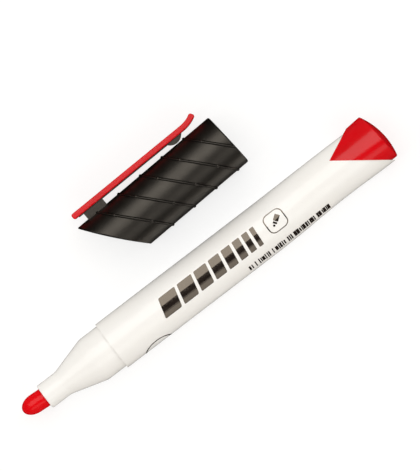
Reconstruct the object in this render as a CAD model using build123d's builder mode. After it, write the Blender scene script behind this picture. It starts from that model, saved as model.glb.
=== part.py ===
"""Whiteboard marker with its cap off: a bullet-nib marker, and its clip cap lying beside it.

The marker's axis is X, with the nib towards -X and the tail plug towards +X. +Z is up.
The origin is on the axis, in the middle of the straight barrel grip. The cap lies on the +Y
side on the same table, in the direction it pulls off, with its mouth towards +X.
"""
from build123d import *
from math import cos, pi, radians, sin, sqrt, tan
import os

os.makedirs("parts", exist_ok=True)

# ---- Marker: places along X ----------------------------------------------------------------
NIB_TIP_X = -67.4
NOSE_FRONT_X = -60.2        # front face of the collar
COLLAR_END_X = -53.9        # collar turns into the cone
CONE_END_X = -43.3          # cone turns into the land that the cap grips
SHOULDER_X = -37.1          # front end of the barrel, where the cap's mouth stops
GRIP_END_X = 15.0           # end of the truly round barrel
NOTCH_X = 41.2              # apex of the V notch in the tail
TAIL_X = 57.75              # crown of the tail dome

# ---- Marker: radii -------------------------------------------------------------------------
BARREL_R = 7.4
BORE_R = 6.1
LAND_R = 6.8
COLLAR_R = 3.75
COLLAR_EDGE = 0.35          # rounding of the collar's front edge
NOSE_BLEND = 5.0            # soft change from collar to cone, and from cone to land
NIB_R = 2.8                 # the rod, gripped inside the collar
NIB_END_R = 2.74            # the soft end, a little thinner
NIB_ROOT = 0.3              # how far inside the rod the soft end starts
NIB_CROWN = 4.1             # length of the nib's rounded end
NIB_LEAN = 4.0              # degrees that the soft end has been pressed over, towards +Y

# ---- Inside the barrel ---------------------------------------------------------------------
SPIGOT_LEN = 8.0            # nose spigot inside the barrel
POCKET_R = 5.35             # pocket in the nose for the front of the reservoir
POCKET_X = -41.5
NIB_BORE_END_X = -50.0      # the nib is gripped from the collar's face to here
NIB_RELIEF_R = 3.3
NIB_TAIL_X = -35.4
NIB_TAIL_R = 1.3
WRAP_R = 5.3
WRAP_WALL = 0.2
RESERVOIR_R = WRAP_R - WRAP_WALL
RESERVOIR_END_X = 34.0
WRAP_MARGIN = 0.4           # bare reservoir at each end of the film
RIB_COUNT = 6
RIB_WIDTH = 0.9
RIB_R = 5.4                 # inner faces of the centring ribs
RIB_ROOT = 0.1              # how far the ribs' roots reach into the barrel wall
RIB_START_X = -28.0
RIB_END_X = 32.0

# ---- Tail ----------------------------------------------------------------------------------
NOTCH_Y = 4.1               # the notch's apex is off centre, on the clip side
NOTCH_RISE = 0.456          # slope of the notch's upper face
NOTCH_FALL = 0.739          # slope of its lower face
NOTCH_REACH = 24.0          # how far the V's two faces are drawn, past the tail's end
BARREL_TAIL_LEAN = 0.47     # how far the centre of the tail's sections drifts to +Y
BARREL_TAIL_SLIM = 0.27     # how much thinner they are
TAPER_STEPS = 4
PLUG_FULL_X = 54.2          # where the plug's corner is fully formed
PLUG_END_X = 58.15          # end of its sections, which the dome trims
PLUG_POINTS = 16            # points on each section
PLUG_GROW = 0.3             # how far the formed section stands out all round
PLUG_CORNER = 0.7           # how far its corner stands out on the +Y side
CORNER_LEAN = 0.6           # share of the corner that leans the whole section over
CORNER_POINT = 0.4          # share that draws it to a point
DOME_R = 20.0
DOME_Y = -1.2
PLUG_EDGE = 0.5             # rounding round the dome
PLUG_SPIGOT_X = 56.2        # the spigot runs on into the wedge to here
PLUG_FRONT_X = 36.0         # its open front end inside the barrel
PLUG_CORE_R = 4.9           # inside of its cup
PLUG_FLOOR_X = 47.0
PLUG_RIB = 1.2              # thickness of the cross rib that meets the reservoir

# ---- Cap -----------------------------------------------------------------------------------
CAP_R = 8.15
CAP_BORE_R = 6.95           # grips the land of the nose
LINER_SEAT_R = 6.5          # narrower bore behind it, where the liner is pressed in
CAP_TURN = 2.84             # degrees between the cap and the marker as they lie
MOUTH_X = 22.95
MOUTH_Y = 25.62
CAP_LONG = 47.6             # mouth to the tip on the clip side
CAP_SHORT = 34.8            # mouth to the closed end on the other side
CROWN_R = 120.0             # the slanted closed end is slightly domed
CAP_WALL = 1.4
CAP_EDGE = 0.5              # rounding round the mouth
CROWN_EDGE = 0.25           # rounding round the closed end
RIDGE_COUNT = 5
RIDGE_FIRST = 2.5           # first ridge, from the mouth, on the axis
RIDGE_PITCH = 7.8
RIDGE_TILT = 41.0
RIDGE_R = 0.28              # each ridge is a fine round wire
RIDGE_H = 0.2               # how far it stands out of the cap
BEADS_PER_RIDGE = 6
BEAD_R = 0.5
BEAD_RISE = 0.3             # how far a bead stands out of the cap
BEAD_ROLL = 2.0             # degrees that the rows of beads are turned towards the clip
MOAT_R = 0.42               # narrow groove along both sides of each ridge
MOUTH_TILT = 2.6            # degrees between the mouth's plane and a square cut
LINER_FRONT = 17.8          # depth of the step between the two bores
LINER_FLANGE = 1.2
LINER_LEN = 15.0
LINER_R = 4.9
LINER_BORE_R = 3.85
LINER_FLOOR = 1.0

# ---- Clip ----------------------------------------------------------------------------------
POST_NEAR = 37.0            # post, as depth from the cap's mouth
POST_FAR = 43.6
POST_GAP = 0.05             # clearance under the arm
POST_WIDTH = 4.0
SLOT_W = 1.6                # slot in the post for the arm's rib
SLOT_FLOOR = 9.2            # height from the cap's axis
SLOT_PLAY = 0.2
CLIP_REAR = 46.6
CLIP_BEND = 7.9             # where the strip starts to curl outwards
CLIP_TIP = 3.2
CLIP_REAR_H = 11.2          # mid-height of the cover at its rear
CLIP_BEND_H = 10.55         # mid-height where the curl starts
CLIP_TIP_H = 11.75
COVER_THICK = 1.7
COVER_WIDTH = 5.2
COVER_EDGE = 0.4            # rounding along the cover's sides
COVER_END = 0.6             # rounding of its two ends, seen from the side
ARM_THICK = 0.95
ARM_WIDTH = 3.6
ARM_PROUD = 0.25            # black that shows under the red cover
ARM_REAR = 45.1
ARM_TIP = 8.9
RIB_NEAR = 37.5
RIB_FAR = 43.2
RIB_FLOOR = 9.3
RIB_W = 1.48
LUMP_DEPTH = 11.4
LUMP_R = 3.1
LUMP_GAP = 0.2              # lump to cap surface

# ---- Derived -------------------------------------------------------------------------------
PRISM = 12.0                # half depth of cutting prisms, wider than any piece
MOUTH_SPARE = 2.0           # the cap is drawn this much too long before its mouth is cut
TABLE_Z = -BARREL_R
turn = radians(CAP_TURN)
cap_out = Vector(cos(turn), sin(turn), 0)
cap_in = Vector(-cos(turn), -sin(turn), 0)
clip_dir = Vector(-sin(turn), cos(turn), 0)
mouth = Vector(MOUTH_X, MOUTH_Y, TABLE_Z + CAP_R + RIDGE_H)
cap_plane = Plane(origin=mouth, x_dir=clip_dir, z_dir=cap_in)
mouth_cut = turn + radians(MOUTH_TILT)
mouth_plane = Plane(origin=mouth, x_dir=(-sin(mouth_cut), cos(mouth_cut), 0),
                    z_dir=(-cos(mouth_cut), -sin(mouth_cut), 0))
outer_plane = Plane(origin=mouth + MOUTH_SPARE * cap_out, x_dir=clip_dir, z_dir=cap_in)
side_plane = Plane(origin=mouth, x_dir=cap_in, z_dir=(0, 0, -1))   # x is depth, y is height
cap_axis = Axis(mouth, cap_out)


def ease(reached):
    """Smooth step from 0 to 1, flat at both ends."""
    return (1 - cos(pi * min(reached, 1.0))) / 2


def tail_plane(x):
    """Section plane of the tapering tail: its centre drifts to +Y."""
    reached = (x - GRIP_END_X) / (NOTCH_X - GRIP_END_X)
    return Plane(origin=(x, ease(reached) * BARREL_TAIL_LEAN, 0), x_dir=(0, 1, 0), z_dir=(1, 0, 0))


def plug_outline(share):
    """Points of a plug section: round where it meets the barrel, with a soft +Y corner behind."""
    points = []
    for i in range(PLUG_POINTS):
        a = 2 * pi * i / PLUG_POINTS
        corner = CORNER_LEAN * cos(a) + CORNER_POINT * cos(3 * a)
        r = BARREL_R - BARREL_TAIL_SLIM + share * (PLUG_GROW + PLUG_CORNER * corner)
        points.append((r * cos(a), r * sin(a)))
    return points


# the V in plan: apex, then far out on the rising and the falling face
notch_corners = [
    (NOTCH_X, NOTCH_Y),
    (NOTCH_X + NOTCH_REACH, NOTCH_Y + NOTCH_RISE * NOTCH_REACH),
    (NOTCH_X + NOTCH_REACH, NOTCH_Y - NOTCH_FALL * NOTCH_REACH),
]


bend_slope = (CLIP_REAR_H - CLIP_BEND_H) / (CLIP_REAR - CLIP_BEND)
arm_drop = COVER_THICK / 2 + ARM_PROUD - ARM_THICK / 2


def strip_height(depth):
    """Mid-height of the straight stretch of the clip cover at a depth from the mouth."""
    return CLIP_BEND_H + (depth - CLIP_BEND) * bend_slope


def arm_floor(depth):
    """Height of the clip arm's underside at a depth from the mouth."""
    return strip_height(depth) - arm_drop - ARM_THICK / 2


def save(piece, name):
    """Label a finished piece and write it."""
    piece.label = name
    export_step(piece, f"parts/{name}.step")
    print(name, round(piece.volume, 1), len(piece.solids()))


# ---- Nib: leaning bullet end, straight rod, tapered tail inside the reservoir ----------------
lean = radians(NIB_LEAN)
lean_plane = Plane(origin=(NOSE_FRONT_X, 0, 0), x_dir=(cos(lean), -sin(lean), 0), z_dir=(0, 0, 1))
nib_reach = NIB_TIP_X - NOSE_FRONT_X

with BuildPart() as nib:
    with BuildSketch(Plane.XY):
        Polygon((NOSE_FRONT_X, 0), (NOSE_FRONT_X, NIB_R), (POCKET_X + WRAP_MARGIN, NIB_R),
                (NIB_TAIL_X, NIB_TAIL_R), (NIB_TAIL_X, 0), align=None)
    revolve(axis=Axis.X)
    with BuildSketch(lean_plane):
        with BuildLine():
            EllipticalCenterArc((nib_reach + NIB_CROWN, 0), NIB_CROWN, NIB_END_R,
                                start_angle=90, arc_size=90)
            Polyline((nib_reach + NIB_CROWN, NIB_END_R), (NIB_ROOT, NIB_END_R),
                     (NIB_ROOT, 0), (nib_reach, 0))
        make_face()
    revolve(axis=Axis(lean_plane.origin, lean_plane.x_dir))
save(nib.part, "nib")


# ---- Nose section: collar, cone and cap seat outside; nib bore and reservoir pocket inside ---
with BuildPart() as nose_section:
    with BuildSketch(Plane.XY):
        with BuildLine():
            Polyline(
                (NOSE_FRONT_X, NIB_R), (NOSE_FRONT_X, COLLAR_R), (COLLAR_END_X, COLLAR_R),
                (CONE_END_X, LAND_R), (SHOULDER_X, LAND_R), (SHOULDER_X, BORE_R),
                (SHOULDER_X + SPIGOT_LEN, BORE_R), (SHOULDER_X + SPIGOT_LEN, POCKET_R),
                (POCKET_X, POCKET_R), (POCKET_X, NIB_RELIEF_R),
                (NIB_BORE_END_X, NIB_RELIEF_R), (NIB_BORE_END_X, NIB_R), close=True,
            )
        make_face()
    revolve(axis=Axis.X)
    rims = nose_section.edges().filter_by(GeomType.CIRCLE)
    collar_rim = rims.filter_by(lambda e: abs(e.radius - COLLAR_R) < 0.01).sort_by(Axis.X)
    fillet(collar_rim[0], radius=COLLAR_EDGE)
    rims = nose_section.edges().filter_by(GeomType.CIRCLE)
    neck_rim = rims.filter_by(lambda e: abs(e.radius - COLLAR_R) < 0.01).sort_by(Axis.X)
    land_rim = rims.filter_by(lambda e: abs(e.radius - LAND_R) < 0.01).sort_by(Axis.X)
    fillet([neck_rim[-1], land_rim[0]], radius=NOSE_BLEND)
save(nose_section.part, "nose_section")


# ---- Ink reservoir and its film --------------------------------------------------------------
with BuildPart() as ink_reservoir:
    with BuildSketch(Plane.XY):
        with BuildLine():
            Polyline(
                (POCKET_X + WRAP_MARGIN, NIB_R), (POCKET_X + WRAP_MARGIN, RESERVOIR_R),
                (RESERVOIR_END_X, RESERVOIR_R), (RESERVOIR_END_X, 0), (NIB_TAIL_X, 0),
                (NIB_TAIL_X, NIB_TAIL_R), close=True,
            )
        make_face()
    revolve(axis=Axis.X)
save(ink_reservoir.part, "ink_reservoir")

with BuildPart() as reservoir_wrap:
    with BuildSketch(Plane.YZ.offset(POCKET_X + 2 * WRAP_MARGIN)):
        Circle(WRAP_R)
        Circle(RESERVOIR_R, mode=Mode.SUBTRACT)
    extrude(amount=RESERVOIR_END_X - POCKET_X - 3 * WRAP_MARGIN)
save(reservoir_wrap.part, "reservoir_wrap")


# ---- Barrel: round grip, tail leaning to a soft corner, V notch, centring ribs ---------------
with BuildPart() as barrel:
    with BuildSketch(Plane.YZ.offset(SHOULDER_X)):
        Circle(BARREL_R)
    extrude(amount=GRIP_END_X - SHOULDER_X)
    for i in range(TAPER_STEPS + 1):
        reached = i / TAPER_STEPS
        with BuildSketch(tail_plane(GRIP_END_X + reached * (NOTCH_X - GRIP_END_X))):
            Circle(BARREL_R - ease(reached) * BARREL_TAIL_SLIM)
    with BuildSketch(tail_plane(TAIL_X)):
        Circle(BARREL_R - BARREL_TAIL_SLIM)
    loft()
    with BuildSketch(Plane.YZ.offset(SHOULDER_X)):
        Circle(BORE_R)
    extrude(amount=TAIL_X - SHOULDER_X, mode=Mode.SUBTRACT)
    with BuildSketch(Plane.XY):
        Polygon(*notch_corners, align=None)
    extrude(amount=PRISM, both=True, mode=Mode.SUBTRACT)
    with BuildSketch(Plane.YZ.offset(RIB_START_X)):
        with PolarLocations((BORE_R + RIB_ROOT + RIB_R) / 2, RIB_COUNT):
            Rectangle(BORE_R + RIB_ROOT - RIB_R, RIB_WIDTH)
    extrude(amount=RIB_END_X - RIB_START_X)
save(barrel.part, "barrel")


# ---- Tail plug: wedge that fills the notch, dome, spigot, cup and cross rib ------------------
with BuildPart() as tail_plug:
    for x in (NOTCH_X, (NOTCH_X + PLUG_FULL_X) / 2, PLUG_FULL_X, PLUG_END_X):
        with BuildSketch(tail_plane(x)):
            with BuildLine():
                Spline(*plug_outline((x - NOTCH_X) / (PLUG_FULL_X - NOTCH_X)), periodic=True)
            make_face()
    loft()
    with Locations((TAIL_X - DOME_R, DOME_Y, 0)):
        Sphere(DOME_R, mode=Mode.INTERSECT)
    dome = tail_plug.faces().sort_by(Axis.X)[-1]
    fillet(dome.edges(), radius=PLUG_EDGE)
    with BuildSketch(Plane.XY):
        Polygon(*notch_corners, align=None)
    extrude(amount=PRISM, both=True, mode=Mode.INTERSECT)
    with BuildSketch(Plane.YZ.offset(PLUG_FRONT_X)):
        Circle(BORE_R)
    extrude(amount=PLUG_SPIGOT_X - PLUG_FRONT_X)
    with BuildSketch(Plane.YZ.offset(PLUG_FRONT_X)):
        Circle(PLUG_CORE_R)
    extrude(amount=PLUG_FLOOR_X - PLUG_FRONT_X, mode=Mode.SUBTRACT)
    with BuildSketch(Plane.YZ.offset(RESERVOIR_END_X)):
        Rectangle(2 * PLUG_CORE_R, PLUG_RIB)
        Rectangle(PLUG_RIB, 2 * PLUG_CORE_R)
    extrude(amount=PLUG_FLOOR_X - RESERVOIR_END_X)
save(tail_plug.part, "tail_plug")


# ---- Cap: slanted, slightly domed closed end -------------------------------------------------
chord_x = 2 * CAP_R
chord_z = CAP_LONG - CAP_SHORT
chord = sqrt(chord_x ** 2 + chord_z ** 2)
crown_reach = sqrt(CROWN_R ** 2 - (chord / 2) ** 2)
crown_x = crown_reach * chord_z / chord
crown_z = (CAP_LONG + CAP_SHORT) / 2 - crown_reach * chord_x / chord
crown_centre = Location(cap_plane.from_local_coords(Vector(crown_x, 0, crown_z)))

with BuildPart() as cap_cavity:
    with BuildSketch(cap_plane):
        Circle(LINER_SEAT_R)
    extrude(amount=CAP_LONG)
    with Locations(crown_centre):
        Sphere(CROWN_R - CAP_WALL, mode=Mode.INTERSECT)
    with BuildSketch(outer_plane):
        Circle(CAP_BORE_R)
    extrude(amount=LINER_FRONT + MOUTH_SPARE)

tilt = radians(RIDGE_TILT)
ridge_long = cap_plane.from_local_coords(Vector(cos(tilt), 0, sin(tilt))) - mouth
ridge_normal = cap_plane.from_local_coords(Vector(-sin(tilt), 0, cos(tilt))) - mouth
ridge_short_r = CAP_R + RIDGE_H - RIDGE_R
ridge_long_r = ridge_short_r / cos(tilt)


def rings(wire_r):
    """Round wires of one radius along all the tilted ridges, ending at the cap's two ends."""
    with BuildPart() as wires:
        for i in range(RIDGE_COUNT):
            foot = cap_plane.from_local_coords(Vector(0, 0, RIDGE_FIRST + i * RIDGE_PITCH))
            with BuildLine(Plane(origin=foot, x_dir=ridge_long, z_dir=ridge_normal)) as ring:
                EllipticalCenterArc((0, 0), ridge_long_r, ridge_short_r, start_angle=0, arc_size=360)
            with BuildSketch(Plane(origin=ring.line @ 0, z_dir=ring.line % 0)):
                Circle(wire_r)
            sweep(path=ring.line)
        with BuildSketch(mouth_plane):
            Circle(2 * CAP_R)
        extrude(amount=CAP_LONG, mode=Mode.INTERSECT)
        with Locations(crown_centre):
            Sphere(CROWN_R - RIDGE_H, mode=Mode.INTERSECT)
    return wires.part


bead_r = CAP_R + BEAD_RISE - BEAD_R
bead_places = []
for i in range(RIDGE_COUNT):
    for j in range(BEADS_PER_RIDGE):
        a = 2 * pi * j / BEADS_PER_RIDGE + radians(BEAD_ROLL)
        rise = bead_r * cos(a)
        depth = RIDGE_FIRST + i * RIDGE_PITCH + rise * tan(tilt)
        if depth > BEAD_R:
            local = Vector(rise, bead_r * sin(a), depth)
            bead_places.append(Location(cap_plane.from_local_coords(local)))

with BuildPart() as cap_shell:
    with BuildSketch(outer_plane):
        Circle(CAP_R)
    extrude(amount=CAP_LONG + MOUTH_SPARE)
    with Locations(crown_centre):
        Sphere(CROWN_R, mode=Mode.INTERSECT)
    with BuildSketch(mouth_plane):
        Circle(2 * CAP_R)
    extrude(amount=CAP_LONG + MOUTH_SPARE, mode=Mode.INTERSECT)
    mouth_rim = cap_shell.faces().sort_by(cap_axis)[-1].edges()
    fillet(mouth_rim, radius=CAP_EDGE)
    crown_rim = cap_shell.faces().sort_by(cap_axis)[0].edges()
    fillet(crown_rim, radius=CROWN_EDGE)
    with BuildSketch(side_plane):
        Polygon((POST_NEAR, CAP_BORE_R), (POST_NEAR, arm_floor(POST_NEAR) - POST_GAP),
                (POST_FAR, arm_floor(POST_FAR) - POST_GAP), (POST_FAR, CAP_BORE_R), align=None)
    extrude(amount=POST_WIDTH / 2, both=True)
    with BuildSketch(side_plane):
        Polygon((POST_NEAR - SLOT_PLAY, SLOT_FLOOR), (POST_NEAR - SLOT_PLAY, CLIP_BEND_H),
                (RIB_FAR + SLOT_PLAY, CLIP_BEND_H), (RIB_FAR + SLOT_PLAY, SLOT_FLOOR), align=None)
    extrude(amount=SLOT_W / 2, both=True, mode=Mode.SUBTRACT)
    add(rings(MOAT_R), mode=Mode.SUBTRACT)
    add(rings(RIDGE_R))
    with Locations(*bead_places):
        Sphere(BEAD_R)
    add(cap_cavity.part, mode=Mode.SUBTRACT)
save(cap_shell.part, "cap_shell")

with BuildPart() as cap_liner:
    with BuildSketch(side_plane):
        with BuildLine():
            Polyline(
                (LINER_FRONT, LINER_BORE_R), (LINER_FRONT, LINER_SEAT_R),
                (LINER_FRONT + LINER_FLANGE, LINER_SEAT_R), (LINER_FRONT + LINER_FLANGE, LINER_R),
                (LINER_FRONT + LINER_LEN, LINER_R), (LINER_FRONT + LINER_LEN, 0),
                (LINER_FRONT + LINER_LEN - LINER_FLOOR, 0),
                (LINER_FRONT + LINER_LEN - LINER_FLOOR, LINER_BORE_R), close=True,
            )
        make_face()
    revolve(axis=cap_axis)
save(cap_liner.part, "cap_liner")


# ---- Clip: black arm with its lump and locating rib, and the red cover over it ---------------
with BuildPart() as clip_arm:
    with BuildSketch(side_plane):
        with BuildLine():
            Line((ARM_REAR, strip_height(ARM_REAR) - arm_drop),
                 (ARM_TIP, strip_height(ARM_TIP) - arm_drop))
        trace(line_width=ARM_THICK)
    extrude(amount=ARM_WIDTH / 2, both=True)
    with BuildSketch(side_plane):
        with Locations((LUMP_DEPTH, CAP_R + LUMP_GAP + LUMP_R)):
            Circle(LUMP_R)
        with Locations((LUMP_DEPTH, strip_height(LUMP_DEPTH) - arm_drop + LUMP_R)):
            Rectangle(4 * LUMP_R, 2 * LUMP_R, mode=Mode.SUBTRACT)   # all above the arm's middle
    extrude(amount=ARM_WIDTH / 2, both=True)
    with BuildSketch(side_plane):
        Polygon((RIB_NEAR, RIB_FLOOR), (RIB_NEAR, strip_height(RIB_NEAR) - arm_drop),
                (RIB_FAR, strip_height(RIB_FAR) - arm_drop), (RIB_FAR, RIB_FLOOR), align=None)
    extrude(amount=RIB_W / 2, both=True)
save(clip_arm.part, "clip_arm")

with BuildPart() as clip_cover:
    with BuildSketch(side_plane):
        with BuildLine():
            Line((CLIP_REAR, CLIP_REAR_H), (CLIP_BEND, CLIP_BEND_H))
            TangentArc((CLIP_BEND, CLIP_BEND_H), (CLIP_TIP, CLIP_TIP_H),
                       tangent=(-1, -bend_slope))
        trace(line_width=COVER_THICK)
    extrude(amount=COVER_WIDTH / 2, both=True)
    ends = clip_cover.edges().filter_by(Axis.Z).sort_by(cap_axis)
    fillet(ends[:2] + ends[-2:], radius=COVER_END)
    fillet(clip_cover.faces().filter_by(Axis.Z).edges(), radius=COVER_EDGE)
    add(clip_arm.part, mode=Mode.SUBTRACT)
save(clip_cover.part, "clip_cover")
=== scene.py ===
# %% [markdown]
# # A whiteboard marker with its cap off
#
# This lesson dresses a bullet-nib whiteboard marker: a white barrel with a red wedge in
# its tail, a red felt nib, and a ribbed black cap that lies beside it with a red clip.
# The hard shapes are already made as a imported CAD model, so the job here is the finish:
# plastics, felt, printing, light and camera. Everything is in metres. The marker lies
# along X with its nib towards -X, and +Z is up.

# %% Load the frame
import math
import random

import bpy
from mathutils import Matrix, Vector


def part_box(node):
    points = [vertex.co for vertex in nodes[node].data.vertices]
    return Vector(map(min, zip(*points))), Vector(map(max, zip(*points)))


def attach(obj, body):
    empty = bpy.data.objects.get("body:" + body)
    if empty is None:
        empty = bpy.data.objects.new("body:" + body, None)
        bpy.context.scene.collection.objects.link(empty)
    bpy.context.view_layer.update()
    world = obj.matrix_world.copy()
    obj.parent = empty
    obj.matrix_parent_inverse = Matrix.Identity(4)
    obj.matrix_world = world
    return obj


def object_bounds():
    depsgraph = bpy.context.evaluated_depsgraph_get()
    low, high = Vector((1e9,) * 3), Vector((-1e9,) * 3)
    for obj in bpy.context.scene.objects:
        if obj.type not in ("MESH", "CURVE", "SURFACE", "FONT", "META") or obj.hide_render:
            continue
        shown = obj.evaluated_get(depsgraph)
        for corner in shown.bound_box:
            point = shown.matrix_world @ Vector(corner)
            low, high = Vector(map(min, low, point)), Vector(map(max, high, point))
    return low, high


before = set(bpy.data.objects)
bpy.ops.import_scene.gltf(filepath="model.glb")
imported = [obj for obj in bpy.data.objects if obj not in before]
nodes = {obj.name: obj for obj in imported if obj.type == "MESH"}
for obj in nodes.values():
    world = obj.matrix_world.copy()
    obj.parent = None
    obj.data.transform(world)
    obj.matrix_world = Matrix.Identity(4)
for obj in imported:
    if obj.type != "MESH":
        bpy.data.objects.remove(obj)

cad_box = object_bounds()
MM = 0.001
print("pieces in the frame:", sorted(nodes))

# %% Where things are
barrel_low, barrel_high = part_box("barrel")
nose_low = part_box("nose_section")[0]
nib_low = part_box("nib")[0]
floor_z = cad_box[0][2]
shoulder_x = barrel_low.x
barrel_r = (barrel_high.z - barrel_low.z) / 2
print("barrel radius", round(barrel_r / MM, 2), "mm, floor at", round(floor_z / MM, 2), "mm")
print("collar from", round(nose_low.x / MM, 2), "mm, nib from", round(nib_low.x / MM, 2), "mm")

# %% [markdown]
# ## Camera
#
# The marker is seen from straight above, and from so far away that nothing looks
# smaller for being further off. A long lens at a distance does that and still is an
# ordinary perspective camera. The camera is turned about the vertical, so that the
# marker runs up to the right in the frame.

# %% Camera
VIEW_CENTRE = Vector((2.84 * MM, 7.70 * MM, 0))
FRAME_TALL = 129.5 * MM       # what the long side of the picture covers
TURN = math.radians(-37.41)
LENS = 400.0
SENSOR = 36.0
CLIP_END = 20.0               # metres

bpy.ops.object.camera_add(
    location=VIEW_CENTRE + Vector((0, 0, FRAME_TALL * LENS / SENSOR)), rotation=(0, 0, TURN))
camera = bpy.context.object
camera.name = "camera"
camera.data.lens = LENS
camera.data.sensor_width = SENSOR
camera.data.clip_end = CLIP_END
bpy.context.scene.camera = camera
print("camera is", round(camera.location.z, 2), "m up")

# %% [markdown]
# ## Node helpers
#
# Each finish below is a small tree of shader nodes. These helpers keep the cells short.
# Some start a material, add a node or mix two colours. Others give the patterns that every
# plastic needs: cloudy noise, a ramp that narrows its range, and a band across the piece.
# The patterns read object coordinates, so they stay put on the piece when it moves.

# %% Node helpers
CLOUD_ROUGHNESS = 0.55        # how strongly the fine detail of a cloud shows


def new_finish(name):
    """A material with one Principled shader: returns the material, its tree and the shader."""
    finish = bpy.data.materials.new(name)
    finish.use_nodes = True
    return finish, finish.node_tree, finish.node_tree.nodes["Principled BSDF"]


def add_node(tree, kind, **values):
    """A node with its input values or settings given by name."""
    made = tree.nodes.new(kind)
    for key, value in values.items():
        label = key.replace("_", " ").title()
        if label in made.inputs:
            made.inputs[label].default_value = value
        else:
            setattr(made, key, value)
    return made


def placed(tree, stretch=(1, 1, 1)):
    """Object coordinates, stretched along an axis by a smaller number."""
    where = tree.nodes.new("ShaderNodeTexCoord")
    mapping = add_node(tree, "ShaderNodeMapping", scale=stretch)
    tree.links.new(where.outputs["Object"], mapping.inputs["Vector"])
    return mapping.outputs["Vector"]


def cloud(tree, size, detail=3.0, stretch=(1, 1, 1)):
    """Noise whose blobs are about size metres across."""
    noise = add_node(tree, "ShaderNodeTexNoise", scale=1 / size, detail=detail,
                     roughness=CLOUD_ROUGHNESS)
    tree.links.new(placed(tree, stretch), noise.inputs["Vector"])
    return noise.outputs["Fac"]


def between(tree, source, low, high, start=0.35, end=0.65):
    """Maps start..end of a pattern to the numbers low..high, and holds them outside."""
    ranged = add_node(tree, "ShaderNodeMapRange", from_min=start, from_max=end,
                      to_min=low, to_max=high)
    tree.links.new(source, ranged.inputs["Value"])
    return ranged.outputs["Result"]


def feed(tree, socket, value):
    """Gives a socket another node's output, or a plain colour or number."""
    if hasattr(value, "links"):
        tree.links.new(value, socket)
    elif isinstance(value, tuple):
        socket.default_value = (*value, 1)
    else:
        socket.default_value = value


def two_colours(tree, amount, first, second):
    """A colour that goes from first to second as amount goes from 0 to 1."""
    mix = add_node(tree, "ShaderNodeMix", data_type="RGBA")
    ends = [socket for socket in mix.inputs if socket.type == "RGBA"]
    feed(tree, ends[0], first)
    feed(tree, ends[1], second)
    feed(tree, mix.inputs["Factor"], amount)
    return [socket for socket in mix.outputs if socket.type == "RGBA"][0]


def sums(tree, operation, first, second=0.0):
    """One Math node, with sockets or plain numbers going in."""
    made = add_node(tree, "ShaderNodeMath", operation=operation)
    feed(tree, made.inputs[0], first)
    feed(tree, made.inputs[1], second)
    return made.outputs[0]


def along(tree, axis):
    """One coordinate of the piece, in metres."""
    where = tree.nodes.new("ShaderNodeTexCoord")
    split = tree.nodes.new("ShaderNodeSeparateXYZ")
    tree.links.new(where.outputs["Object"], split.inputs[0])
    return split.outputs[axis]


def band(tree, axis, centre, width):
    """1 on a plane across the axis, falling to 0 at width on either side."""
    off = sums(tree, "ABSOLUTE", sums(tree, "SUBTRACT", along(tree, axis), centre))
    return between(tree, off, 1.0, 0.0, 0.0, width)


def bumps(tree, shader, height, depth):
    """Feeds a height pattern to the shader as bump, depth metres from black to white."""
    bump = add_node(tree, "ShaderNodeBump", strength=1.0, distance=depth)
    tree.links.new(height, bump.inputs["Height"])
    tree.links.new(bump.outputs["Normal"], shader.inputs["Normal"])


print("helpers ready")

# %% [markdown]
# ## White gloss plastic
#
# The barrel and nose are moulded in one glossy white plastic. Real mouldings are never
# one flat white: the colour drifts a little from place to place, and the surface has a
# faint ripple, fine lengthwise scuffs from being slid in and out of a pen tray, and a few
# specks. Grey dirt gathers where the nose meets the barrel, because a hand and a cap rub
# there. Each of those is a noise pattern at its own size, laid over the last one.

# %% White gloss plastic
white_gloss, tree, shader = new_finish("white_gloss")
WHITE = (0.930, 0.921, 0.903)
WHITE_WARM = (0.918, 0.905, 0.880)
SPECK = (0.42, 0.38, 0.33)
GRIME = (0.30, 0.27, 0.23)

DRIFT_SIZE = 9 * MM
SPECK_SIZE = 0.30 * MM
SPECK_MOST = 0.22
SMUDGE_SIZE = 1.6 * MM
SMUDGE_MOST = 0.22
GRIME_REACH = 0.35 * MM

drift = between(tree, cloud(tree, DRIFT_SIZE, stretch=(0.5, 1, 1)), 0.0, 1.0)
plastic = two_colours(tree, drift, WHITE, WHITE_WARM)
speck = between(tree, cloud(tree, SPECK_SIZE, detail=1.0), 0.0, SPECK_MOST, start=0.73, end=0.78)
plastic = two_colours(tree, speck, plastic, SPECK)
smudge = between(tree, cloud(tree, SMUDGE_SIZE), 0.0, SMUDGE_MOST, start=0.40, end=0.62)
grime = sums(tree, "MULTIPLY", band(tree, "X", shoulder_x, GRIME_REACH), smudge)
plastic = two_colours(tree, grime, plastic, GRIME)
tree.links.new(plastic, shader.inputs["Base Color"])
print("white plastic coloured")

# %% White gloss surface
SCUFF_SIZE = 0.22 * MM
SCUFF_MOST = 0.10
HAZE_SIZE = 5 * MM
WHITE_ROUGH = (0.06, 0.09)
RIPPLE_SIZE = 3.2 * MM
SCRATCH_SIZE = 0.12 * MM
SCRATCH_SHARE = 0.12          # of the ripple's height
WHITE_RELIEF = 0.005 * MM
WHITE_IOR = 1.49

scuff_cloud = cloud(tree, SCUFF_SIZE, detail=4.0, stretch=(0.03, 1, 1))
scuffs = between(tree, scuff_cloud, 0.0, SCUFF_MOST, start=0.60, end=0.76)
haze = between(tree, cloud(tree, HAZE_SIZE), *WHITE_ROUGH)
tree.links.new(sums(tree, "ADD", haze, scuffs), shader.inputs["Roughness"])
ripple = cloud(tree, RIPPLE_SIZE, detail=1.5, stretch=(0.35, 1, 1))
scratches = cloud(tree, SCRATCH_SIZE, detail=2.0, stretch=(0.02, 1, 1))
relief = sums(tree, "ADD", ripple, sums(tree, "MULTIPLY", scratches, SCRATCH_SHARE))
bumps(tree, shader, relief, WHITE_RELIEF)
shader.inputs["IOR"].default_value = WHITE_IOR
print("white_gloss has", len(tree.nodes), "nodes")

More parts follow.
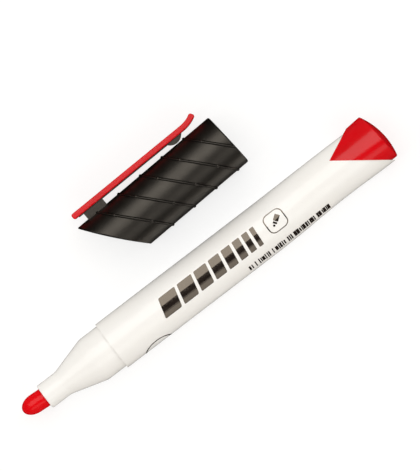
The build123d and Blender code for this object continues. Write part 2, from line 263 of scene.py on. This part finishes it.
# %% [markdown]
# ## Red gloss plastic
#
# The tail plug and the clip cover are the same clear bright red. It has deeper and
# lighter patches where the pigment is thicker, a trace of flow along the part, and the
# same sort of scuffs as the barrel, which show more because red is darker than white.

# %% Red gloss plastic
red_gloss, tree, shader = new_finish("red_gloss")
RED = (0.68, 0.0008, 0.0055)
RED_DEEP = (0.62, 0.0004, 0.0040)
RED_RUB = (0.70, 0.012, 0.014)

PIGMENT_SIZE = 4 * MM
RUB_SIZE = 0.18 * MM
RUB_MOST = 0.35

pigment = between(tree, cloud(tree, PIGMENT_SIZE, stretch=(0.4, 1, 1)), 0.0, 1.0)
plastic = two_colours(tree, pigment, RED, RED_DEEP)
rub_cloud = cloud(tree, RUB_SIZE, detail=3.0, stretch=(0.06, 1, 1))
rub = between(tree, rub_cloud, 0.0, RUB_MOST, start=0.66, end=0.76)
plastic = two_colours(tree, rub, plastic, RED_RUB)
tree.links.new(plastic, shader.inputs["Base Color"])
print("red plastic coloured")

# %% Red gloss surface
RED_SCUFF_SIZE = 0.2 * MM
RED_SCUFF_MOST = 0.06
RED_HAZE_SIZE = 3 * MM
RED_ROUGH = (0.19, 0.23)
FLOW_SIZE = 1.8 * MM
FLOW_RELIEF = 0.004 * MM
RED_IOR = 1.5

scuff_cloud = cloud(tree, RED_SCUFF_SIZE, detail=4.0, stretch=(0.05, 1, 1))
scuffs = between(tree, scuff_cloud, 0.0, RED_SCUFF_MOST, start=0.56, end=0.74)
haze = between(tree, cloud(tree, RED_HAZE_SIZE), *RED_ROUGH)
tree.links.new(sums(tree, "ADD", haze, scuffs), shader.inputs["Roughness"])
bumps(tree, shader, cloud(tree, FLOW_SIZE, detail=2.0, stretch=(0.5, 1, 1)), FLOW_RELIEF)
shader.inputs["IOR"].default_value = RED_IOR
print("red_gloss has", len(tree.nodes), "nodes")

# %% [markdown]
# ## Black satin plastic
#
# The cap and the clip's spring arm are black with a satin skin: a fine spark-eroded
# texture in the mould breaks the highlight into a broad brown-grey sheen. Fingers polish
# the high spots, so roughness varies in blotches, and pale dust shows on black at once.

# %% Black satin plastic
black_satin, tree, shader = new_finish("black_satin")
BLACK = (0.0016, 0.0011, 0.0008)
BLACK_RUBBED = (0.0034, 0.0026, 0.0020)
DUST = (0.10, 0.095, 0.085)

BLOTCH_SIZE = 3 * MM
DUST_SIZE = 0.16 * MM
DUST_MOST = 0.5

blotch = between(tree, cloud(tree, BLOTCH_SIZE), 0.0, 1.0)
plastic = two_colours(tree, blotch, BLACK, BLACK_RUBBED)
dust = between(tree, cloud(tree, DUST_SIZE, detail=1.0), 0.0, DUST_MOST, start=0.70, end=0.76)
plastic = two_colours(tree, dust, plastic, DUST)
tree.links.new(plastic, shader.inputs["Base Color"])
print("black plastic coloured")

# %% Black satin surface
POLISH_SIZE = 4 * MM
POLISH_ROUGH = (0.39, 0.44)
GRAIN_SIZE = 0.13 * MM
GRAIN_ROUGH = (-0.03, 0.05)   # added to the polish
GRAIN_RELIEF = 0.006 * MM
BLACK_IOR = 1.85              # strong for a plastic, so that the sheen stands out
BLACK_SHEEN = (1.0, 0.91, 0.79)

polish = between(tree, cloud(tree, POLISH_SIZE), *POLISH_ROUGH)
grain = cloud(tree, GRAIN_SIZE, detail=2.0)
satin = sums(tree, "ADD", polish, between(tree, grain, *GRAIN_ROUGH))
tree.links.new(satin, shader.inputs["Roughness"])
bumps(tree, shader, grain, GRAIN_RELIEF)
shader.inputs["IOR"].default_value = BLACK_IOR
shader.inputs["Specular Tint"].default_value = (*BLACK_SHEEN, 1)
print("black_satin has", len(tree.nodes), "nodes")

# %% [markdown]
# ## Inked fibre
#
# The nib is a rod of pressed polyester fibres, soaked in red ink. Wet ink makes it shine a
# little. Its fibres run along the rod, and the rounded end is worn slightly paler than the
# wet band near the collar. The ink store inside is the same fibre.

# %% Inked fibre
inked_fibre, tree, shader = new_finish("inked_fibre")
INK = (0.74, 0.0006, 0.0040)
INK_WET = (0.70, 0.0004, 0.0035)
FIBRE = (0.82, 0.0020, 0.0060)

THREAD_SIZE = 0.11 * MM
THREAD_MOST = 0.4
WET_LENGTH = 2.2 * MM         # the wet band in front of the collar
WET_MOST = 0.85
POOL_SIZE = 0.9 * MM
POOL_MOST = 0.4
FIBRE_ROUGH = (0.16, 0.24)
THREAD_RELIEF = 0.003 * MM
FIBRE_IOR = 1.38

threads = cloud(tree, THREAD_SIZE, detail=3.0, stretch=(0.10, 1, 1))
pale = between(tree, threads, 0.0, THREAD_MOST, start=0.38, end=0.66)
felt = two_colours(tree, pale, INK, FIBRE)
wet = between(tree, along(tree, "X"), 0.0, WET_MOST, nose_low.x - WET_LENGTH, nose_low.x)
felt = two_colours(tree, wet, felt, INK_WET)
felt = two_colours(tree, between(tree, cloud(tree, POOL_SIZE), 0.0, POOL_MOST), felt, INK)
tree.links.new(felt, shader.inputs["Base Color"])
tree.links.new(between(tree, threads, *FIBRE_ROUGH), shader.inputs["Roughness"])
bumps(tree, shader, threads, THREAD_RELIEF)
shader.inputs["IOR"].default_value = FIBRE_IOR
print("inked_fibre has", len(tree.nodes), "nodes")

# %% [markdown]
# ## Inside parts
#
# A thin film holds the ink store together, and the cap has a soft natural-coloured liner
# that seals over the nib. The liner shows when the cap is turned mouth up, with a red
# stain where the wet nib has touched it.

# %% Clear film
clear_film, tree, shader = new_finish("clear_film")
FILM = (0.86, 0.74, 0.73)
FILM_CREASE = (0.93, 0.86, 0.85)
CREASE_SIZE = 1.1 * MM
CREASE_RELIEF = 0.03 * MM
FILM_ROUGH = (0.12, 0.30)

crease = cloud(tree, CREASE_SIZE, detail=3.0, stretch=(0.2, 1, 1))
film = two_colours(tree, between(tree, crease, 0.0, 1.0), FILM, FILM_CREASE)
tree.links.new(film, shader.inputs["Base Color"])
tree.links.new(between(tree, crease, *FILM_ROUGH), shader.inputs["Roughness"])
bumps(tree, shader, crease, CREASE_RELIEF)
print("clear_film has", len(tree.nodes), "nodes")

# %% Natural liner
natural_plastic, tree, shader = new_finish("natural_plastic")
MILKY = (0.80, 0.78, 0.72)
MILKY_THIN = (0.72, 0.69, 0.62)
STAIN = (0.55, 0.07, 0.06)
MILK_SIZE = 2.4 * MM
STAIN_SIZE = 1.7 * MM
STAIN_MOST = 0.55
LINER_HAZE_SIZE = 0.5 * MM
LINER_ROUGH = (0.42, 0.58)
LINER_GRAIN_SIZE = 0.3 * MM
LINER_RELIEF = 0.006 * MM

milk = two_colours(tree, between(tree, cloud(tree, MILK_SIZE), 0.0, 1.0), MILKY, MILKY_THIN)
stain = between(tree, cloud(tree, STAIN_SIZE), 0.0, STAIN_MOST, start=0.52, end=0.66)
milk = two_colours(tree, stain, milk, STAIN)
tree.links.new(milk, shader.inputs["Base Color"])
haze = between(tree, cloud(tree, LINER_HAZE_SIZE), *LINER_ROUGH)
tree.links.new(haze, shader.inputs["Roughness"])
bumps(tree, shader, cloud(tree, LINER_GRAIN_SIZE), LINER_RELIEF)
print("natural_plastic has", len(tree.nodes), "nodes")

# %% Dress the frame
DRESS = {
    "barrel": white_gloss, "nose_section": white_gloss, "nib": inked_fibre,
    "ink_reservoir": inked_fibre, "reservoir_wrap": clear_film, "tail_plug": red_gloss,
    "cap_shell": black_satin, "cap_liner": natural_plastic,
    "clip_arm": black_satin, "clip_cover": red_gloss,
}
for name, finish in DRESS.items():
    piece = nodes[name]
    piece.data.materials.clear()
    piece.data.materials.append(finish)
    print(name, "wears", finish.name)

# %% [markdown]
# ## Printed ink
#
# The barrel carries printing: a bold block along its top, a round-cornered badge after
# it, a row of fine ticks lower down and a thin ring on its side. It is made here as plain
# bars, a pictogram of a nib and simple outlines. Ink is printed flat and then lies on the
# round barrel, and the same order works here: each shape is drawn flat on a plane that
# touches the barrel, cut into narrow strips so that it can bend, then a Shrinkwrap
# modifier lays it on the barrel and Solidify gives it the thickness of a coat of ink.

# %% Printing ink
print_ink, tree, shader = new_finish("print_ink")
INK_DARK = (0.0150, 0.0105, 0.0090)
INK_THIN = (0.0300, 0.0215, 0.0170)
THIN_SIZE = 0.25 * MM
INK_HAZE_SIZE = 0.7 * MM
INK_ROUGH = (0.10, 0.18)
INK_GRAIN_SIZE = 0.2 * MM
INK_RELIEF = 0.002 * MM
INK_IOR = 2.5                 # printing ink mirrors far more light than bare plastic
INK_SHEEN = (1.0, 0.86, 0.70)

thin = between(tree, cloud(tree, THIN_SIZE), 0.0, 1.0, start=0.45, end=0.7)
ink = two_colours(tree, thin, INK_DARK, INK_THIN)
tree.links.new(ink, shader.inputs["Base Color"])
haze = between(tree, cloud(tree, INK_HAZE_SIZE), *INK_ROUGH)
tree.links.new(haze, shader.inputs["Roughness"])
bumps(tree, shader, cloud(tree, INK_GRAIN_SIZE), INK_RELIEF)
shader.inputs["IOR"].default_value = INK_IOR
shader.inputs["Specular Tint"].default_value = (*INK_SHEEN, 1)
print("print_ink has", len(tree.nodes), "nodes")

# %% Flat drawing tools
INK_LIFT = 0.015 * MM         # clears the barrel's facets
INK_THICK = 0.020 * MM
STRIP = 0.42 * MM             # width of the strips that bend round the barrel


def select_only(piece):
    """Leaves one object selected and active."""
    bpy.ops.object.select_all(action="DESELECT")
    piece.select_set(True)
    bpy.context.view_layer.objects.active = piece


def flat_shape(name, corners, x=0.0, y=0.0):
    """A flat face on the plane that touches the top of the barrel, from a plane primitive."""
    bpy.ops.object.select_all(action="DESELECT")
    bpy.ops.mesh.primitive_plane_add(size=1.0, location=(0, 0, 0))
    shape = bpy.context.object
    shape.name = name
    order = sorted(shape.data.vertices, key=lambda v: math.atan2(v.co.y, v.co.x))
    for vertex, (cx, cy) in zip(order, corners):
        vertex.co = (x + cx, y + cy, barrel_r)
    return shape


def bar_corners(long, high, slant=0.0):
    """Corners of a bar, in turning order from lower left, its top pushed over by slant."""
    return [(-long / 2 - slant / 2, -high / 2), (long / 2 - slant / 2, -high / 2),
            (long / 2 + slant / 2, high / 2), (-long / 2 + slant / 2, high / 2)]


def round_corners(shape, radius, segments=4):
    """Rounds the corners of a flat shape."""
    select_only(shape)
    bpy.ops.object.mode_set(mode="EDIT")
    bpy.ops.mesh.select_all(action="SELECT")
    bpy.ops.mesh.bevel(offset=radius, segments=segments, affect="VERTICES")
    bpy.ops.object.mode_set(mode="OBJECT")


def outline_only(shape, line):
    """Takes the middle out of a flat shape and leaves a border one line wide."""
    select_only(shape)
    bpy.ops.object.mode_set(mode="EDIT")
    bpy.ops.mesh.select_all(action="SELECT")
    bpy.ops.mesh.inset(thickness=line, depth=0)
    bpy.ops.mesh.delete(type="FACE")
    bpy.ops.object.mode_set(mode="OBJECT")


def copy_of(shape, name, move=(0, 0), wider=1.0, taller=1.0):
    """A copy with its own mesh, stretched about its middle and moved along the barrel."""
    twin = shape.copy()
    twin.data = shape.data.copy()
    twin.name = name
    bpy.context.scene.collection.objects.link(twin)
    middle_x = sum(v.co.x for v in twin.data.vertices) / len(twin.data.vertices)
    middle_y = sum(v.co.y for v in twin.data.vertices) / len(twin.data.vertices)
    for v in twin.data.vertices:
        v.co.x = middle_x + (v.co.x - middle_x) * wider + move[0]
        v.co.y = middle_y + (v.co.y - middle_y) * taller + move[1]
    return twin


def join(pieces, name):
    """Joins several flat shapes into one object."""
    bpy.ops.object.select_all(action="DESELECT")
    for piece in pieces:
        piece.select_set(True)
    bpy.context.view_layer.objects.active = pieces[0]
    bpy.ops.object.join()
    joined = bpy.context.object
    joined.name = name
    return joined


def lay_on_barrel(shape, around=0.0):
    """Slices a flat shape, turns it round the barrel, wraps it on and gives it thickness."""
    select_only(shape)
    lowest = min(v.co.y for v in shape.data.vertices)
    highest = max(v.co.y for v in shape.data.vertices)
    cuts = int((highest - lowest) / STRIP)
    bpy.ops.object.mode_set(mode="EDIT")
    for i in range(1, cuts + 1):
        bpy.ops.mesh.select_all(action="SELECT")
        bpy.ops.mesh.bisect(plane_co=(0, lowest + i * (highest - lowest) / (cuts + 1), 0),
                            plane_no=(0, 1, 0))
    bpy.ops.mesh.select_all(action="SELECT")
    bpy.ops.mesh.normals_make_consistent(inside=False)
    bpy.ops.object.mode_set(mode="OBJECT")
    if shape.data.polygons[0].normal.z < 0:
        shape.data.flip_normals()
    turn = math.radians(around)
    for v in shape.data.vertices:
        v.co = (v.co.x, v.co.y * math.cos(turn) + v.co.z * math.sin(turn),
                v.co.z * math.cos(turn) - v.co.y * math.sin(turn))
    wrap = shape.modifiers.new("wrap", "SHRINKWRAP")
    wrap.target = nodes["barrel"]
    wrap.wrap_method = "NEAREST_SURFACEPOINT"
    wrap.wrap_mode = "ABOVE_SURFACE"
    wrap.offset = INK_LIFT
    bpy.ops.object.modifier_apply(modifier="wrap")
    thick = shape.modifiers.new("coat", "SOLIDIFY")
    thick.thickness = INK_THICK
    thick.offset = 1.0
    bpy.ops.object.modifier_apply(modifier="coat")
    shape.data.materials.clear()
    shape.data.materials.append(print_ink)
    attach(shape, "marker")
    print(shape.name, "has", len(shape.data.polygons), "faces")

# %% [markdown]
# ### The bold block
#
# Eight leaning bars that get narrower along the barrel, like a stroke that runs out of
# ink. One bar is drawn and rounded, and the others are copies of it made narrower.

# %% Bold bars
BARS_FROM = -20.6 * MM
BARS_TO = 14.2 * MM
BAR_TOP = 2.8 * MM
BAR_FOOT = -3.4 * MM
BAR_GAP = 0.9 * MM
BAR_LEAN = 1.6 * MM
BAR_CORNER = 0.45 * MM
BAR_WIDTHS = [5.6, 4.9, 4.2, 3.6, 3.0, 2.4, 1.9, 1.4]

spare = (BARS_TO - BARS_FROM - BAR_LEAN) - BAR_GAP * (len(BAR_WIDTHS) - 1)
share = spare / (sum(BAR_WIDTHS) * MM)
first_long = BAR_WIDTHS[0] * share * MM
first_bar = flat_shape("bar", bar_corners(first_long, BAR_TOP - BAR_FOOT, BAR_LEAN),
                       y=(BAR_TOP + BAR_FOOT) / 2)
round_corners(first_bar, BAR_CORNER)
bars = []
reached = BARS_FROM + BAR_LEAN / 2
for i, width in enumerate(BAR_WIDTHS):
    real = width * share * MM
    bars.append(copy_of(first_bar, f"bar_{i}", move=(reached + real / 2, 0),
                        wider=width / BAR_WIDTHS[0]))
    reached += real + BAR_GAP
bpy.data.objects.remove(first_bar)
lay_on_barrel(join(bars, "print_bars"))

# %% [markdown]
# ### The badge
#
# A thin outline with rounded corners and a small leaning nib inside. The outline is a
# rounded face that is inset, and the middle is taken away.

# %% Badge outline
BADGE_X = 19.5 * MM
BADGE_SIZE = 6.2 * MM
BADGE_LINE = 0.32 * MM
BADGE_CORNER = 1.9 * MM

outline = flat_shape("badge", bar_corners(BADGE_SIZE, BADGE_SIZE), x=BADGE_X)
round_corners(outline, BADGE_CORNER, segments=8)
outline_only(outline, BADGE_LINE)
print("outline has", len(outline.data.polygons), "faces")

# %% Nib pictogram
NIB_LEAN = math.radians(52)
PICTO = [(0.75, 1.9, 0.9), (0.62, 0.55, -0.55), (0.34, 0.62, -1.35)]  # half width, height, middle
PICTO_CORNER = 0.14 * MM
TIP_CORNER = 0.30 * MM
TIP_WIDTH = 0.4               # a block narrower than this is the nib's tip

picto_parts = []
for width, high, middle in PICTO:
    block = flat_shape("picto", bar_corners(width * 2 * MM, high * MM), y=middle * MM)
    round_corners(block, PICTO_CORNER if width > TIP_WIDTH else TIP_CORNER)
    picto_parts.append(block)
picto = join(picto_parts, "picto")
for v in picto.data.vertices:
    x, y = v.co.x, v.co.y
    v.co.x = BADGE_X + x * math.cos(NIB_LEAN) + y * math.sin(NIB_LEAN)
    v.co.y = y * math.cos(NIB_LEAN) - x * math.sin(NIB_LEAN)
lay_on_barrel(join([outline, picto], "print_badge"))

# %% [markdown]
# ### The ticks
#
# A fine row of ticks runs along the side of the barrel, like the marks on a rule. One
# tick is drawn, and its copies differ in width and gap. The gaps come from a seeded
# random generator, so the row is the same on every run.

# %% Fine ticks
TICKS_FROM = 6.2 * MM
TICKS_TO = 34.0 * MM
TICK_WIDE = 0.42 * MM
TICK_HIGH = 2.6 * MM
TICK_AROUND = -57.0
TICK_SEED = 7
TICK_WIDTHS = [0.8, 1.0, 1.4, 2.0]
TICK_HEIGHTS = [0.8, 1.0, 1.0]
TICK_STEPS = [0.45, 0.5, 0.55, 0.6, 1.1]
TICK_CLEAR = 0.15 * MM        # extra room for a wide tick

spread = random.Random(TICK_SEED)
one_tick = flat_shape("tick", bar_corners(TICK_WIDE, TICK_HIGH))
ticks = []
reached = TICKS_FROM
while reached < TICKS_TO:
    wide = spread.choice(TICK_WIDTHS)
    ticks.append(copy_of(one_tick, f"tick_{len(ticks)}", move=(reached, 0), wider=wide,
                         taller=spread.choice(TICK_HEIGHTS)))
    reached += spread.choice(TICK_STEPS) * MM + wide * TICK_CLEAR
bpy.data.objects.remove(one_tick)
print("drew", len(ticks), "ticks")
lay_on_barrel(join(ticks, "print_ticks"), around=TICK_AROUND)

# %% [markdown]
# ### The ring
#
# A thin ring is printed low on the barrel's side, near the nose. From above only its top
# shows, at the barrel's edge. It is the badge's outline again, with its corners rounded
# until they almost meet.

# %% Side ring
RING_X = -26.4 * MM
RING_SIZE = 9.0 * MM
RING_AROUND = -88.0
RING_LINE = 0.45 * MM
RING_CORNER = 0.49 * RING_SIZE   # just short of half, so that no corners meet

ring = flat_shape("ring", bar_corners(RING_SIZE, RING_SIZE), x=RING_X)
round_corners(ring, RING_CORNER, segments=12)
outline_only(ring, RING_LINE)
lay_on_barrel(ring, around=RING_AROUND)

# %% [markdown]
# ## Floor and light
#
# A pale floor and a soft studio. Plastic shows its shape by what it reflects: two long
# softboxes beside the camera draw straight bands of light along the barrel, the broad one
# on the cap's side and a fainter one on the other. The other lights fill in the shading
# from overhead, from both ends and from low on both sides. They are switched off for
# reflections, as are the floor and the sky, so that they add light but no bands.

# %% Floor
FLOOR_SIZE = 5.0              # metres
bpy.ops.object.select_all(action="DESELECT")
bpy.ops.mesh.primitive_plane_add(size=FLOOR_SIZE, location=(0, 0, floor_z))
floor = bpy.context.object
floor.name = "floor"
floor_paint, tree, shader = new_finish("floor_paint")
FLOOR = (0.30, 0.30, 0.30)
FLOOR_SOFT = (0.31, 0.308, 0.305)
FLOOR_CLOUD = 0.3             # metres
FLOOR_ROUGH = 0.9
FLOOR_SHINE = 0.1
FLOOR_GLOW = 0.72             # keeps the floor white where the shadows are faint

paper = two_colours(tree, between(tree, cloud(tree, FLOOR_CLOUD), 0.0, 1.0), FLOOR, FLOOR_SOFT)
tree.links.new(paper, shader.inputs["Base Color"])
shader.inputs["Roughness"].default_value = FLOOR_ROUGH
shader.inputs["Specular IOR Level"].default_value = FLOOR_SHINE
shader.inputs["Emission Color"].default_value = (1, 1, 1, 1)
shader.inputs["Emission Strength"].default_value = FLOOR_GLOW
floor.data.materials.append(floor_paint)
floor.visible_glossy = False

# %% Light helpers
LAMP_AWAY = 0.8               # metres from the marker to every lamp


def softbox(name, towards, glow, wide, long, colour=(1, 1, 1), mirrored=True):
    """A rectangular light that faces the marker: its long side lies along the marker."""
    place = Vector(towards).normalized() * LAMP_AWAY
    bpy.ops.object.light_add(type="AREA", location=place)
    lamp = bpy.context.object
    lamp.name = name
    lamp.data.shape = "RECTANGLE"
    lamp.data.size = long
    lamp.data.size_y = wide
    lamp.data.energy = glow * math.pi * wide * long
    lamp.data.color = colour
    lamp.rotation_euler = place.to_track_quat("Z", "Y").to_euler()
    lamp.visible_glossy = mirrored
    print(name, "shines", round(lamp.data.energy, 2), "W")


def beside(degrees):
    """A direction across the marker, so many degrees from straight up, towards +Y."""
    return (0, math.sin(math.radians(degrees)), math.cos(math.radians(degrees)))

# %% Lights
NEUTRAL = (1.0, 0.99, 0.97)
WARM = (1.0, 0.90, 0.76)
COOL = (0.95, 0.98, 1.0)
LAMP_LONG = 1.3
END_SIZE = 0.9
NIB_END = (-0.75, 0.0, 0.66)
TAIL_END = (0.75, 0.0, 0.66)

softbox("cap_side_box", beside(25.5), glow=1.55, wide=0.66, long=LAMP_LONG, colour=NEUTRAL)
softbox("far_side_box", beside(-37), glow=0.80, wide=0.38, long=LAMP_LONG, colour=NEUTRAL)
softbox("overhead_strip", beside(3.5), glow=2.7, wide=0.11, long=LAMP_LONG, colour=COOL,
        mirrored=False)
softbox("nib_end_fill", NIB_END, glow=0.3, wide=END_SIZE, long=END_SIZE, mirrored=False)
softbox("tail_end_fill", TAIL_END, glow=0.3, wide=END_SIZE, long=END_SIZE, mirrored=False)
softbox("low_far_fill", beside(-64), glow=0.9, wide=0.5, long=LAMP_LONG, colour=WARM,
        mirrored=False)
softbox("low_cap_fill", beside(66), glow=0.6, wide=0.5, long=LAMP_LONG, colour=WARM,
        mirrored=False)

# %% Sky
SKY = (1.0, 0.95, 0.88)
SKY_STRENGTH = 0.20

world = bpy.data.worlds.new("studio")
bpy.context.scene.world = world
world.use_nodes = True
air = world.node_tree.nodes["Background"]
air.inputs["Color"].default_value = (*SKY, 1)
air.inputs["Strength"].default_value = SKY_STRENGTH
world.cycles_visibility.glossy = False
bpy.context.scene.view_settings.view_transform = "Standard"
print("studio lit")
